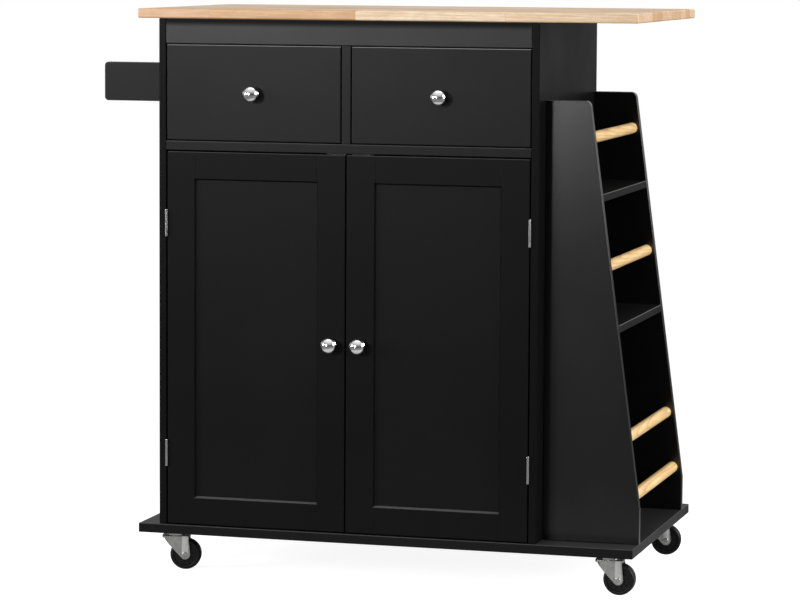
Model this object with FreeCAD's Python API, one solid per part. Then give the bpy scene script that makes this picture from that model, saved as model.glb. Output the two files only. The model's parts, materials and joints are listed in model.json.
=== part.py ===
import FreeCAD, Part
import math
import os

# A kitchen cart on four swivel casters: a worktop over a cabinet with two drawers and two doors, a bottle
# rack on the right and a towel rail on the left. Millimetres. +X is the viewer's right, +Y the back, +Z up.
# The origin is on the floor, at the middle of the whole cart's length and depth.

# Whole cart
overall_height = 905.0
board_depth = 450.0             # worktop and base board alike
worktop_thickness = 15.0
worktop_rounding = 2.0
base_thickness = 15.0
paint_rounding = 1.2            # softened edges of the painted boards
joint_rounding = 0.4            # edges where the boards of a door frame meet
rounding_share = 0.33           # of a board's thickness, at most
overhang_left = 35.0            # both boards past the cabinet's left side
overhang_right = 154.0          # both boards past its right side, under and over the rack
overrun = 3.0                   # how far a cutting shape passes the face that it cuts
flatness = 0.01                 # how level an edge has to lie to count as level

# Cabinet
cabinet_width = 621.0
cabinet_front_setback = 2.0     # behind the front of the boards
cabinet_rear_setback = 48.0     # in front of their rear
side_thickness = 12.0
back_thickness = 3.0
back_inset = 4.0                # back panel in front of the side panels' rear edges
back_groove_depth = 6.0
top_rail_height = 40.0
rail_thickness = 15.0
divider_thickness = 15.0
deck_thickness = 15.0
drawer_bay_height = 154.0

# Cupboard shelf on four pins, with spare holes above and below
shelf_thickness = 15.0
shelf_height_share = 0.47       # of the cupboard's height
shelf_end_play = 1.0
shelf_front_gap = 12.0          # behind the doors
shelf_back_gap = 2.0
pin_diameter = 5.0
pin_length = 16.0
pin_hole_depth = 8.0
pin_rounding = 0.8
pin_play = 0.05
pin_hole_pitch = 32.0
pin_rows_each_way = 2
pin_line_shares = (0.16, 0.84)  # of the shelf's depth

# Doors
door_thickness = 16.0
door_gap = 2.0
stile_width = 47.5
door_rail_width = 45.0
door_bevel = 2.5
panel_recess = 5.0
door_panel_thickness = 6.0
door_groove_depth = 8.0

# Drawers
drawer_gap = 1.5
drawer_front_thickness = 15.0
drawer_side_thickness = 12.0
drawer_box_height = 110.0
drawer_rear_gap = 28.0          # between the drawer box and the back panel
drawer_box_rise = 15.0          # over the deck
drawer_bottom_thickness = 4.0
drawer_bottom_rise = 8.0        # over the lower edge of the drawer's sides
drawer_groove_depth = 6.0

# Drawer runners, one channel inside another
runner_space = 12.5             # between the cabinet and the drawer's side
runner_height = 35.0
runner_sheet = 1.2
runner_play = 0.3
runner_front_gap = 3.0          # behind the drawer front
runner_rear_gap = 2.0           # short of the drawer box's rear end

# Knobs and their machine screws
knob_diameter = 25.0
knob_reach = 25.0
knob_dome = 9.0                 # from the widest ring to the tip
knob_rim_radius = 5.0
knob_head_depth = 15.0
knob_neck_diameter = 10.0
knob_flange_diameter = 17.0
knob_flange_thickness = 2.6
knob_flange_rim = 1.2           # upright edge of the flange
knob_drop = 0.8                 # below the middle of the drawer or door
knob_curve_shares = (0.72, 0.3)     # middle of the head's underside, out and up
flange_curve_shares = (0.72, 0.7)   # middle of the flange's slope, out and down
knob_screw_diameter = 4.0
knob_screw_bite = 9.0           # thread inside the knob
knob_screw_head_diameter = 8.0
knob_screw_head_height = 2.4
knob_screw_head_rounding = 0.8
screw_play = 0.05

# Butt hinges in the gap beside each door
hinge_height = 41.0
hinge_barrel_diameter = 4.3
hinge_pin_diameter = 2.0
hinge_tip_height = 1.0
hinge_tip_rounding = 0.7
hinge_leaf_depth = 13.0
hinge_leaf_play = 0.2           # between the two closed leaves
hinge_knuckle_play = 0.15
hinge_bore_play = 0.05
hinge_stand_off = 0.15          # barrel in front of the door's face
hinge_end_distance = 114.0      # hinge centre from the end of the door
hinge_knuckles = 5

# Magnetic door catches and strike plates
catch_width = 32.0
catch_height = 13.0
catch_depth = 16.0
catch_centre_gap = 10.0         # between the two catches
catch_play = 0.3
strike_thickness = 1.0
strike_width = 24.0
strike_height = 12.0
strike_drop = 1.0               # below the door's top edge

# Bottle rack
rack_front_setback = 46.0       # behind the front of the boards
rack_rear_setback = 54.0        # in front of their rear
rack_height = 689.0
rack_panel_thickness = 12.0
rack_top_reach = 70.0           # out from the cabinet at the top
rack_foot_height = 55.0
rack_corner_radius = 10.0
rack_foot_radius = 12.0
rack_shelf_thickness = 12.0
rack_shelf_height_shares = (0.476, 0.772)
rack_rod_height_shares = (0.103, 0.235, 0.623, 0.914)
rod_diameter = 18.0
rod_edge_distance = 14.0        # rod centre from the slanted edge
rod_socket_depth = 6.0
rod_play = 0.05

# Towel rail
towel_reach = 109.0             # out from the cabinet
towel_bracket_height = 62.0
towel_bracket_drop = 72.0       # below the worktop
towel_bracket_thickness = 12.0
towel_corner_radius = 6.0
towel_rod_inset = 17.0          # rod centre from the bracket's end

# Casters
caster_height = 65.0
caster_inset_left = 47.5        # swivel axis from the edges of the base board
caster_inset_right = 45.5
caster_inset_front = 48.0
caster_inset_rear = 40.0
front_left_turn = 12.0          # degrees that each caster stands turned from trailing to the right
front_right_turn = 0.0
rear_left_turn = 0.0
rear_right_turn = 8.0
caster_plate_side = 42.0
caster_plate_thickness = 2.0
caster_plate_corner = 5.0
caster_hole_spacing = 32.0
caster_race_diameter = 30.0
caster_race_play = 0.3
kingpin_diameter = 8.0
kingpin_head_diameter = 12.0
kingpin_head_height = 2.5
kingpin_play = 0.05
crown_diameter = 46.0
crown_depth = 4.2
crown_top_drop = 9.0            # below the base board
crown_rounding = 1.8
fork_sheet = 2.0
fork_width = 26.0
fork_tip_radius = 8.0
fork_nose_reach = 20.0          # in front of the swivel axis
fork_nose_drop = 3.0            # below the underside of the crown
fork_rear_reach = 21.0          # behind the swivel axis
wheel_diameter = 50.0
wheel_width = 20.0
wheel_trail = 15.5              # axle behind the swivel axis
wheel_rounding = 4.0
wheel_hub_diameter = 18.0
wheel_hub_play = 0.2
wheel_web_diameter = 38.0
wheel_web_depth = 2.0
axle_diameter = 6.0
axle_play = 0.05
axle_head_diameter = 8.5
axle_head_height = 1.6
axle_head_rounding = 1.1

# Wood screws, all of one size, and the shorter ones of the caster plates
wood_screw_diameter = 4.0
wood_screw_length = 45.0
wood_screw_head_diameter = 8.0
wood_screw_head_height = 3.0
rail_counterbore_depth = 5.0
plate_screw_length = 14.0
plate_screw_head_diameter = 7.5
plate_screw_head_height = 2.4
plate_screw_head_rounding = 1.2
base_screw_shares = (0.28, 0.72)        # of the cabinet's depth
rack_base_screw_shares = (0.22, 0.5)    # of the rack's foot, out from the cabinet
rack_side_screw_shares = (0.2, 0.82)    # of the rack's height
bracket_screw_shares = (0.22, 0.78)     # of the towel bracket's height
rail_screw_shares = (0.22, 0.78)        # of the rail's length

# Heights
base_bottom = caster_height
plate_bottom = base_bottom - caster_plate_thickness
base_top = base_bottom + base_thickness
worktop_bottom = overall_height - worktop_thickness
rail_bottom = worktop_bottom - top_rail_height
deck_top = rail_bottom - drawer_bay_height
deck_bottom = deck_top - deck_thickness
rack_top = base_top + rack_height
rack_kink = base_top + rack_foot_height
door_bottom = base_top + door_gap
door_top = deck_bottom - door_gap

# Places along X
cabinet_left = (towel_reach - (cabinet_width + overhang_right)) / 2
cabinet_right = cabinet_left + cabinet_width
board_left = cabinet_left - overhang_left
board_right = cabinet_right + overhang_right
inner_left = cabinet_left + side_thickness
inner_right = cabinet_right - side_thickness
middle = (inner_left + inner_right) / 2
divider_left = middle - divider_thickness / 2
divider_right = middle + divider_thickness / 2
rack_top_edge = cabinet_right + rack_top_reach
towel_end = cabinet_left - towel_reach

# Places along Y
board_front = -(board_depth + cabinet_front_setback - knob_reach) / 2
board_rear = board_front + board_depth
cabinet_front = board_front + cabinet_front_setback
cabinet_rear = board_rear - cabinet_rear_setback
back_panel_rear = cabinet_rear - back_inset
back_panel_front = back_panel_rear - back_thickness
rack_front = board_front + rack_front_setback
rack_rear = board_rear - rack_rear_setback
rack_inside_ys = (rack_front + rack_panel_thickness, rack_rear - rack_panel_thickness)
towel_inside_ys = (rack_front + towel_bracket_thickness, rack_rear - towel_bracket_thickness)
door_back = cabinet_front + door_thickness
drawer_front_back = cabinet_front + drawer_front_thickness
drawer_box_rear = back_panel_front - drawer_rear_gap

across = FreeCAD.Vector(1, 0, 0)
inward = FreeCAD.Vector(0, 1, 0)
upward = FreeCAD.Vector(0, 0, 1)


def point(x, y, z):
    return FreeCAD.Vector(x, y, z)


def block(xs, ys, zs):
    corner = point(xs[0], ys[0], zs[0])
    return Part.makeBox(xs[1] - xs[0], ys[1] - ys[0], zs[1] - zs[0], corner)


def board(xs, ys, zs, rounding=paint_rounding):
    # A board with all its edges softened, within what its thickness allows.
    blank = block(xs, ys, zs)
    thinnest = min(xs[1] - xs[0], ys[1] - ys[0], zs[1] - zs[0])
    return blank.makeFillet(min(rounding, thinnest * rounding_share), blank.Edges)


def joined_board(xs, ys, zs, joint_xs):
    # A board whose edges are softened less round the end or side faces where it meets another.
    def at_joint(edge):
        box = edge.BoundBox
        return box.XLength < flatness and min(abs(box.XMin - x) for x in joint_xs) < flatness

    blank = block(xs, ys, zs)
    blank = blank.makeFillet(paint_rounding, [edge for edge in blank.Edges if not at_joint(edge)])
    return blank.makeFillet(joint_rounding, [edge for edge in blank.Edges if at_joint(edge)])


def placed(shape, start, direction):
    # Takes a shape that is built up from the origin and sends it from a point along a direction.
    moved = shape.copy()
    moved.Placement = FreeCAD.Placement(start, FreeCAD.Rotation(upward, direction))
    return moved


def rim_edges(shape, height):
    # The round edges of a turned shape at one height on its axis.
    return [edge for edge in shape.Edges if edge.Closed and abs(edge.BoundBox.Center.z - height) < flatness]


def button(diameter, height, rounding):
    # A round head that stands on the origin and has its far rim rounded.
    head = Part.makeCylinder(diameter / 2, height)
    return head.makeFillet(rounding, rim_edges(head, height))


def turned(outline):
    # A solid of revolution about Z from (radius, height) points and arcs given as three such points.
    edges = []
    for step in outline:
        ends = [point(radius, 0, height) for radius, height in step]
        if len(ends) == 2:
            edges.append(Part.LineSegment(*ends).toShape())
        else:
            edges.append(Part.Arc(*ends).toShape())
    face = Part.Face(Part.Wire(Part.__sortEdges__(edges)))
    return face.revolve(point(0, 0, 0), upward, 360)


def moved_copies(shape, places):
    copies = []
    for place in places:
        copy = shape.copy()
        copy.translate(place)
        copies.append(copy)
    return copies


# Wood screws with a countersunk head, drawn from the head along +Z
def wood_screw(play=0.0):
    head = wood_screw_head_diameter / 2 + play
    shank = wood_screw_diameter / 2 + play
    neck = wood_screw_head_height
    tip = wood_screw_length - wood_screw_diameter
    end = wood_screw_length + play
    return turned([
        [(0, 0), (head, 0)],
        [(head, 0), (shank, neck)],
        [(shank, neck), (shank, tip)],
        [(shank, tip), (0, end)],
        [(0, end), (0, 0)],
    ])


screw_seats = {"base": [], "rack": [], "bracket": [], "rail": []}
side_panel_middles = (cabinet_left + side_thickness / 2, cabinet_right - side_thickness / 2)
for share in base_screw_shares:
    y = cabinet_front + (cabinet_rear - cabinet_front) * share
    for x in side_panel_middles:
        screw_seats["base"].append((point(x, y, base_bottom), upward))
rack_panel_middles = (rack_front + rack_panel_thickness / 2, rack_rear - rack_panel_thickness / 2)
bracket_middles = (rack_front + towel_bracket_thickness / 2, rack_rear - towel_bracket_thickness / 2)
for y in rack_panel_middles:
    for share in rack_base_screw_shares:
        x = cabinet_right + overhang_right * share
        screw_seats["base"].append((point(x, y, base_bottom), upward))
    for share in rack_side_screw_shares:
        z = base_top + rack_height * share
        screw_seats["rack"].append((point(inner_right, y, z), across))
towel_bracket_top = worktop_bottom - towel_bracket_drop
towel_bracket_bottom = towel_bracket_top - towel_bracket_height
for y in bracket_middles:
    for share in bracket_screw_shares:
        z = towel_bracket_bottom + towel_bracket_height * share
        screw_seats["bracket"].append((point(inner_left, y, z), -across))
rail_middles = (cabinet_front + rail_thickness / 2, back_panel_front - rail_thickness / 2)
for y in rail_middles:
    for share in rail_screw_shares:
        x = inner_left + (inner_right - inner_left) * share
        screw_seats["rail"].append((point(x, y, rail_bottom + rail_counterbore_depth), upward))


def screws(kind, play=0.0):
    return [placed(wood_screw(play), start, direction) for start, direction in screw_seats[kind]]


def drilled(shape, *kinds):
    for kind in kinds:
        for hole in screws(kind, screw_play):
            shape = shape.cut(hole)
    return shape


def carcass_screws():
    return screws("base") + screws("rack") + screws("bracket") + screws("rail")


# Worktop and base board
def worktop():
    xs = (board_left, board_right)
    ys = (board_front, board_rear)
    top = board(xs, ys, (worktop_bottom, overall_height), worktop_rounding)
    return [drilled(top, "rail")]


def caster_places():
    xs = (board_left + caster_inset_left, board_right - caster_inset_right)
    ys = (board_front + caster_inset_front, board_rear - caster_inset_rear)
    return {
        "front_left": point(xs[0], ys[0], 0),
        "front_right": point(xs[1], ys[0], 0),
        "rear_left": point(xs[0], ys[1], 0),
        "rear_right": point(xs[1], ys[1], 0),
    }


def plate_screw_places():
    offset = caster_hole_spacing / 2
    corners = [(-offset, -offset), (offset, -offset), (-offset, offset), (offset, offset)]
    return [place + point(x, y, plate_bottom) for place in caster_places().values() for x, y in corners]


def base():
    xs = (board_left, board_right)
    ys = (board_front, board_rear)
    plank = drilled(board(xs, ys, (base_bottom, base_top)), "base")
    pilot_radius = wood_screw_diameter / 2 + screw_play
    pilot = Part.makeCylinder(pilot_radius, plate_screw_length + screw_play)
    for hole in moved_copies(pilot, plate_screw_places()):
        plank = plank.cut(hole)
    return [plank]


# Cabinet
def shelf_range():
    # The shelf's front and rear edges, and the height of its underside.
    front = door_back + shelf_front_gap
    rear = back_panel_front - shelf_back_gap
    underside = base_top + (deck_bottom - base_top) * shelf_height_share
    return front, rear, underside


def pin_spots():
    front, rear, underside = shelf_range()
    height = underside - pin_diameter / 2
    return [(front + (rear - front) * share, height) for share in pin_line_shares]


def pin_holes(face_x, direction):
    radius = pin_diameter / 2 + pin_play
    drill = Part.makeCylinder(radius, pin_hole_depth + overrun)
    holes = []
    for y, height in pin_spots():
        for row in range(-pin_rows_each_way, pin_rows_each_way + 1):
            start = point(face_x, y, height + row * pin_hole_pitch) - direction * overrun
            holes.append(placed(drill, start, direction))
    return holes


def back_groove():
    xs = (inner_left - back_groove_depth, inner_right + back_groove_depth)
    return block(xs, (back_panel_front, back_panel_rear), (base_top - overrun, worktop_bottom + overrun))


def side_panels():
    ys = (cabinet_front, cabinet_rear)
    zs = (base_top, worktop_bottom)
    left = drilled(board((cabinet_left, inner_left), ys, zs), "base", "bracket")
    right = drilled(board((inner_right, cabinet_right), ys, zs), "base", "rack")
    for hole in pin_holes(inner_left, -across) + [back_groove()]:
        left = left.cut(hole)
    for hole in pin_holes(inner_right, across) + [back_groove()]:
        right = right.cut(hole)
    return left, right


def back_panel():
    xs = (inner_left - back_groove_depth, inner_right + back_groove_depth)
    return [block(xs, (back_panel_front, back_panel_rear), (base_top, worktop_bottom))]


def rail(ys):
    piece = drilled(board((inner_left, inner_right), ys, (rail_bottom, worktop_bottom)), "rail")
    counterbore_radius = wood_screw_head_diameter / 2 + screw_play
    counterbore = Part.makeCylinder(counterbore_radius, rail_counterbore_depth + overrun)
    for start, direction in screw_seats["rail"]:
        piece = piece.cut(placed(counterbore, start, -direction))
    return piece


def rail_depths():
    front = (cabinet_front, cabinet_front + rail_thickness)
    rear = (back_panel_front - rail_thickness, back_panel_front)
    return front, rear


def divider():
    ys = (cabinet_front, back_panel_front)
    panel = board((divider_left, divider_right), ys, (deck_top, worktop_bottom))
    notch_xs = (divider_left - overrun, divider_right + overrun)
    notch_zs = (rail_bottom, worktop_bottom + overrun)
    front_ys, rear_ys = rail_depths()
    panel = panel.cut(block(notch_xs, (front_ys[0] - overrun, front_ys[1]), notch_zs))
    panel = panel.cut(block(notch_xs, (rear_ys[0], rear_ys[1] + overrun), notch_zs))
    return [panel]


def deck():
    return [board((inner_left, inner_right), (cabinet_front, back_panel_front), (deck_bottom, deck_top))]


def cupboard_shelf():
    front, rear, underside = shelf_range()
    xs = (inner_left + shelf_end_play, inner_right - shelf_end_play)
    return [board(xs, (front, rear), (underside, underside + shelf_thickness))]


def shelf_pins():
    peg = Part.makeCylinder(pin_diameter / 2, pin_length)
    peg = peg.makeFillet(pin_rounding, rim_edges(peg, 0) + rim_edges(peg, pin_length))
    pins = []
    for y, height in pin_spots():
        pins.append(placed(peg, point(inner_left - pin_hole_depth, y, height), across))
        pins.append(placed(peg, point(inner_right + pin_hole_depth, y, height), -across))
    return pins


# Bottle rack
def rack_edge(z):
    # How far out the slanted edge of the rack stands at a height.
    if z <= rack_kink:
        return board_right
    risen_share = (z - rack_kink) / (rack_top - rack_kink)
    return board_right + (rack_top_edge - board_right) * risen_share


def rack_rod_places():
    heights = [base_top + rack_height * share for share in rack_rod_height_shares]
    return [(rack_edge(height) - rod_edge_distance, height) for height in heights]


def level_edges(shape):
    return [edge for edge in shape.Edges if edge.BoundBox.YLength < flatness]


def rack_panel(y, socket_y):
    corners = [
        point(cabinet_right, y, base_top),
        point(board_right, y, base_top),
        point(board_right, y, rack_kink),
        point(rack_top_edge, y, rack_top),
        point(cabinet_right, y, rack_top),
    ]
    outline = Part.Face(Part.makePolygon(corners + corners[:1]))
    panel = outline.extrude(inward * rack_panel_thickness)
    for corner, radius in ((corners[3], rack_corner_radius), (corners[2], rack_foot_radius)):
        upright = [edge for edge in panel.Edges if edge.BoundBox.YLength > flatness
                   and abs(edge.BoundBox.Center.x - corner.x) < flatness
                   and abs(edge.BoundBox.Center.z - corner.z) < flatness]
        panel = panel.makeFillet(radius, upright)
    panel = panel.makeFillet(paint_rounding, level_edges(panel))
    socket = Part.makeCylinder(rod_diameter / 2 + rod_play, rod_socket_depth)
    for x, height in rack_rod_places():
        panel = panel.cut(placed(socket, point(x, socket_y, height), inward))
    return drilled(panel, "base", "rack")


def rack_shelf(height_share):
    underside = base_top + rack_height * height_share
    top = underside + rack_shelf_thickness
    return [board((cabinet_right, rack_edge(top)), rack_inside_ys, (underside, top))]


def rod(x, z, ys):
    stick = Part.makeCylinder(rod_diameter / 2, ys[1] - ys[0] + 2 * rod_socket_depth)
    return placed(stick, point(x, ys[0] - rod_socket_depth, z), inward)


def rack_rods():
    return [rod(x, height, rack_inside_ys) for x, height in rack_rod_places()]


# Towel rail
towel_rod_x = towel_end + towel_rod_inset
towel_rod_z = towel_bracket_top - towel_bracket_height / 2


def towel_bracket(y, socket_y):
    xs = (towel_end, cabinet_left)
    plate = block(xs, (y, y + towel_bracket_thickness), (towel_bracket_bottom, towel_bracket_top))
    outer = [edge for edge in plate.Edges if edge.BoundBox.YLength > flatness
             and abs(edge.BoundBox.Center.x - towel_end) < flatness]
    plate = plate.makeFillet(towel_corner_radius, outer)
    plate = plate.makeFillet(paint_rounding, level_edges(plate))
    socket = Part.makeCylinder(rod_diameter / 2 + rod_play, rod_socket_depth)
    plate = plate.cut(placed(socket, point(towel_rod_x, socket_y, towel_rod_z), inward))
    return [drilled(plate, "bracket")]


# Knobs, drawn from the mounting face along +Z and turned to face the front
def knob_head():
    head = knob_diameter / 2
    neck = knob_neck_diameter / 2
    flange = knob_flange_diameter / 2
    rim = knob_rim_radius
    widest = knob_reach - knob_dome
    underside = knob_reach - knob_head_depth
    crown = ((head - rim) ** 2 + knob_dome ** 2 - rim ** 2) / (2 * (knob_dome - rim))
    crown_centre = knob_reach - crown
    lean = math.atan2(head - rim, widest - crown_centre)
    join = (crown * math.sin(lean), crown_centre + crown * math.cos(lean))
    half_lean = lean / 2
    crown_mid = (crown * math.sin(half_lean), crown_centre + crown * math.cos(half_lean))
    rim_turn = (lean + math.pi / 2) / 2
    rim_mid = (head - rim + rim * math.sin(rim_turn), widest + rim * math.cos(rim_turn))
    out, up = knob_curve_shares
    under_mid = (neck + (head - neck) * out, underside + (widest - underside) * up)
    out, up = flange_curve_shares
    flange_slope = knob_flange_thickness - knob_flange_rim
    flange_mid = (neck + (flange - neck) * out, knob_flange_rim + flange_slope * up)
    body = turned([
        [(0, 0), (flange, 0)],
        [(flange, 0), (flange, knob_flange_rim)],
        [(flange, knob_flange_rim), flange_mid, (neck, knob_flange_thickness)],
        [(neck, knob_flange_thickness), (neck, underside)],
        [(neck, underside), under_mid, (head, widest)],
        [(head, widest), rim_mid, join],
        [join, crown_mid, (0, knob_reach)],
        [(0, knob_reach), (0, 0)],
    ])
    thread = Part.makeCylinder(knob_screw_diameter / 2 + screw_play, knob_screw_bite + screw_play)
    return body.cut(thread)


def knob_screw(grip):
    # Drawn from the face that its head rests on, with the head below it.
    head = placed(button(knob_screw_head_diameter, knob_screw_head_height, knob_screw_head_rounding),
                  point(0, 0, 0), -upward)
    return head.fuse(Part.makeCylinder(knob_screw_diameter / 2, grip + knob_screw_bite)).removeSplitter()


def knob(x, z, grip):
    face = point(x, cabinet_front, z)
    return [placed(knob_head(), face, -inward), placed(knob_screw(grip), face + inward * grip, -inward)]


def knob_hole(x, z, grip):
    drill = Part.makeCylinder(knob_screw_diameter / 2 + screw_play, grip + 2 * overrun)
    return placed(drill, point(x, cabinet_front - overrun, z), inward)


# Drawers
drawer_bays = {"left": (inner_left, divider_left), "right": (divider_right, inner_right)}
drawer_front_zs = (deck_top + drawer_gap, rail_bottom - drawer_gap)
drawer_box_bottom = deck_top + drawer_box_rise
drawer_box_top = drawer_box_bottom + drawer_box_height
drawer_bottom_underside = drawer_box_bottom + drawer_bottom_rise
drawer_bottom_top = drawer_bottom_underside + drawer_bottom_thickness
drawer_knob_z = (drawer_front_zs[0] + drawer_front_zs[1]) / 2 - knob_drop
runner_middle = drawer_box_bottom + drawer_box_height / 2
runner_zs = (runner_middle - runner_height / 2, runner_middle + runner_height / 2)
runner_ys = (drawer_front_back + runner_front_gap, drawer_box_rear - runner_rear_gap)
channel_reach = runner_space - runner_sheet - runner_play


def drawer_box_xs(side):
    bay = drawer_bays[side]
    return bay[0] + runner_space, bay[1] - runner_space


def drawer_inner_xs(side):
    outer = drawer_box_xs(side)
    return outer[0] + drawer_side_thickness, outer[1] - drawer_side_thickness


def drawer_bottom(side):
    inner = drawer_inner_xs(side)
    xs = (inner[0] - drawer_groove_depth, inner[1] + drawer_groove_depth)
    ys = (drawer_front_back - drawer_groove_depth, drawer_box_rear)
    return [block(xs, ys, (drawer_bottom_underside, drawer_bottom_top))]


def drawer_front(side):
    bay = drawer_bays[side]
    xs = (bay[0] + drawer_gap, bay[1] - drawer_gap)
    front = board(xs, (cabinet_front, drawer_front_back), drawer_front_zs)
    front = front.cut(drawer_bottom(side)[0])
    return [front.cut(knob_hole((xs[0] + xs[1]) / 2, drawer_knob_z, drawer_front_thickness))]


def drawer_sides(side):
    outer = drawer_box_xs(side)
    inner = drawer_inner_xs(side)
    ys = (drawer_front_back, drawer_box_rear)
    zs = (drawer_box_bottom, drawer_box_top)
    bottom = drawer_bottom(side)[0]
    return [board(xs, ys, zs).cut(bottom) for xs in ((outer[0], inner[0]), (inner[1], outer[1]))]


def drawer_back(side):
    ys = (drawer_box_rear - drawer_side_thickness, drawer_box_rear)
    return [board(drawer_inner_xs(side), ys, (drawer_bottom_top, drawer_box_top))]


def drawer_knob(side):
    bay = drawer_bays[side]
    return knob((bay[0] + bay[1]) / 2, drawer_knob_z, drawer_front_thickness)


def channel(web_x, direction, zs):
    # An open channel: its web lies on a wall at web_x and its flanges reach along X.
    far = web_x + direction * channel_reach
    web_inside = web_x + direction * runner_sheet
    outer = block(sorted((web_x, far)), runner_ys, zs)
    hollow_xs = sorted((web_inside, far + direction * overrun))
    hollow_ys = (runner_ys[0] - overrun, runner_ys[1] + overrun)
    return outer.cut(block(hollow_xs, hollow_ys, (zs[0] + runner_sheet, zs[1] - runner_sheet)))


def runner_tracks():
    tracks = []
    for bay in drawer_bays.values():
        tracks.append(channel(bay[0], 1, runner_zs))
        tracks.append(channel(bay[1], -1, runner_zs))
    return tracks


def drawer_slides(side):
    step = runner_sheet + runner_play
    zs = (runner_zs[0] + step, runner_zs[1] - step)
    outer = drawer_box_xs(side)
    return [channel(outer[0], -1, zs), channel(outer[1], 1, zs)]


# Doors
door_width = (inner_right - inner_left - 3 * door_gap) / 2
door_spans = {
    "left": (inner_left + door_gap, inner_left + door_gap + door_width),
    "right": (inner_right - door_gap - door_width, inner_right - door_gap),
}
door_zs = (door_bottom, door_top)
door_knob_z = (door_bottom + door_top) / 2 - knob_drop
hinge_y = cabinet_front - hinge_barrel_diameter / 2 - hinge_stand_off
hinge_xs = {"left": inner_left + door_gap / 2, "right": inner_right - door_gap / 2}
hinge_zs = (door_bottom + hinge_end_distance, door_top - hinge_end_distance)


def door_panel(side):
    span = door_spans[side]
    edge = stile_width - door_groove_depth
    end = door_rail_width - door_groove_depth
    ys = (cabinet_front + panel_recess, cabinet_front + panel_recess + door_panel_thickness)
    return [block((span[0] + edge, span[1] - edge), ys, (door_zs[0] + end, door_zs[1] - end))]


def door_mouth(side):
    # The bevelled opening in front of the panel: wider at the door's face than at the panel.
    span = door_spans[side]
    loops = []
    for depth, widening in ((0, door_bevel), (panel_recess, 0)):
        xs = (span[0] + stile_width - widening, span[1] - stile_width + widening)
        zs = (door_zs[0] + door_rail_width - widening, door_zs[1] - door_rail_width + widening)
        y = cabinet_front + depth
        round_trip = ((xs[0], zs[0]), (xs[1], zs[0]), (xs[1], zs[1]), (xs[0], zs[1]))
        corners = [point(x, y, z) for x, z in round_trip]
        loops.append(Part.makePolygon(corners + corners[:1]))
    return Part.makeLoft(loops, True, True)


def door_frame(side):
    span = door_spans[side]
    ys = (cabinet_front, door_back)
    inner = (span[0] + stile_width, span[1] - stile_width)
    pieces = [
        joined_board((span[0], inner[0]), ys, door_zs, inner),
        joined_board((inner[1], span[1]), ys, door_zs, inner),
        joined_board(inner, ys, (door_zs[0], door_zs[0] + door_rail_width), inner),
        joined_board(inner, ys, (door_zs[1] - door_rail_width, door_zs[1]), inner),
    ]
    hole = knob_hole(door_knob_x(side), door_knob_z, door_thickness)
    tools = [door_mouth(side), door_panel(side)[0], hole]
    cut = []
    for piece in pieces:
        for tool in tools:
            piece = piece.cut(tool)
        cut.append(piece)
    return cut


def door_knob_x(side):
    half_face = (stile_width - door_bevel) / 2
    span = door_spans[side]
    return span[1] - half_face if side == "left" else span[0] + half_face


def door_knob(side):
    return knob(door_knob_x(side), door_knob_z, door_thickness)


# Hinges, drawn for a left door with the pin on the Z axis, the cabinet at -X and the door at +X
def hinge_leaf(direction, knuckles, bore_play):
    barrel = hinge_barrel_diameter / 2
    wall = direction * door_gap / 2
    face = direction * hinge_leaf_play / 2
    xs = sorted((wall, face))
    clear = barrel + 2 * hinge_stand_off
    reach = barrel + hinge_stand_off + hinge_leaf_depth
    leaf = block(xs, (clear, reach), (0, hinge_height))
    pitch = hinge_height / hinge_knuckles
    for number in knuckles:
        zs = (number * pitch + hinge_knuckle_play / 2, (number + 1) * pitch - hinge_knuckle_play / 2)
        ring = Part.makeCylinder(barrel, zs[1] - zs[0], point(0, 0, zs[0]))
        leaf = leaf.fuse(ring).fuse(block(xs, (0, clear), zs))
    bore_radius = hinge_pin_diameter / 2 + bore_play
    bore = Part.makeCylinder(bore_radius, hinge_height + 2 * overrun, point(0, 0, -overrun))
    return leaf.cut(bore).removeSplitter()


def hinge_pin():
    pin = Part.makeCylinder(hinge_pin_diameter / 2, hinge_height)
    tip = button(hinge_barrel_diameter, hinge_tip_height, hinge_tip_rounding)
    upper = placed(tip, point(0, 0, hinge_height), upward)
    lower = placed(tip, point(0, 0, 0), -upward)
    return pin.fuse([upper, lower]).removeSplitter()


def hung(shape, side):
    # Puts a hinge piece at both heights of one door, mirrored for the right door.
    piece = shape if side == "left" else shape.mirror(point(0, 0, 0), across)
    places = [point(hinge_xs[side], hinge_y, z - hinge_height / 2) for z in hinge_zs]
    return moved_copies(piece, places)


def hinge_frame_leaves():
    leaf = hinge_leaf(-1, range(0, hinge_knuckles, 2), 0.0)
    return hung(leaf, "left") + hung(leaf, "right")


def hinge_pins():
    return hung(hinge_pin(), "left") + hung(hinge_pin(), "right")


def door_hinge_leaves(side):
    return hung(hinge_leaf(1, range(1, hinge_knuckles, 2), hinge_bore_play), side)


# Door catches
def catch_span(side):
    near = catch_centre_gap / 2
    far = near + catch_width
    return (middle - far, middle - near) if side == "left" else (middle + near, middle + far)


def door_catches():
    front = door_back + strike_thickness + catch_play
    zs = (deck_bottom - catch_height, deck_bottom)
    return [board(catch_span(side), (front, front + catch_depth), zs) for side in ("left", "right")]


def door_strike(side):
    span = catch_span(side)
    centre = (span[0] + span[1]) / 2
    xs = (centre - strike_width / 2, centre + strike_width / 2)
    zs = (door_top - strike_drop - strike_height, door_top - strike_drop)
    return [block(xs, (door_back, door_back + strike_thickness), zs)]


# Casters, drawn with the swivel axis on the Z axis and trailing towards +X
crown_top = base_bottom - crown_top_drop
crown_underside = crown_top - fork_sheet
axle_z = wheel_diameter / 2


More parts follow.
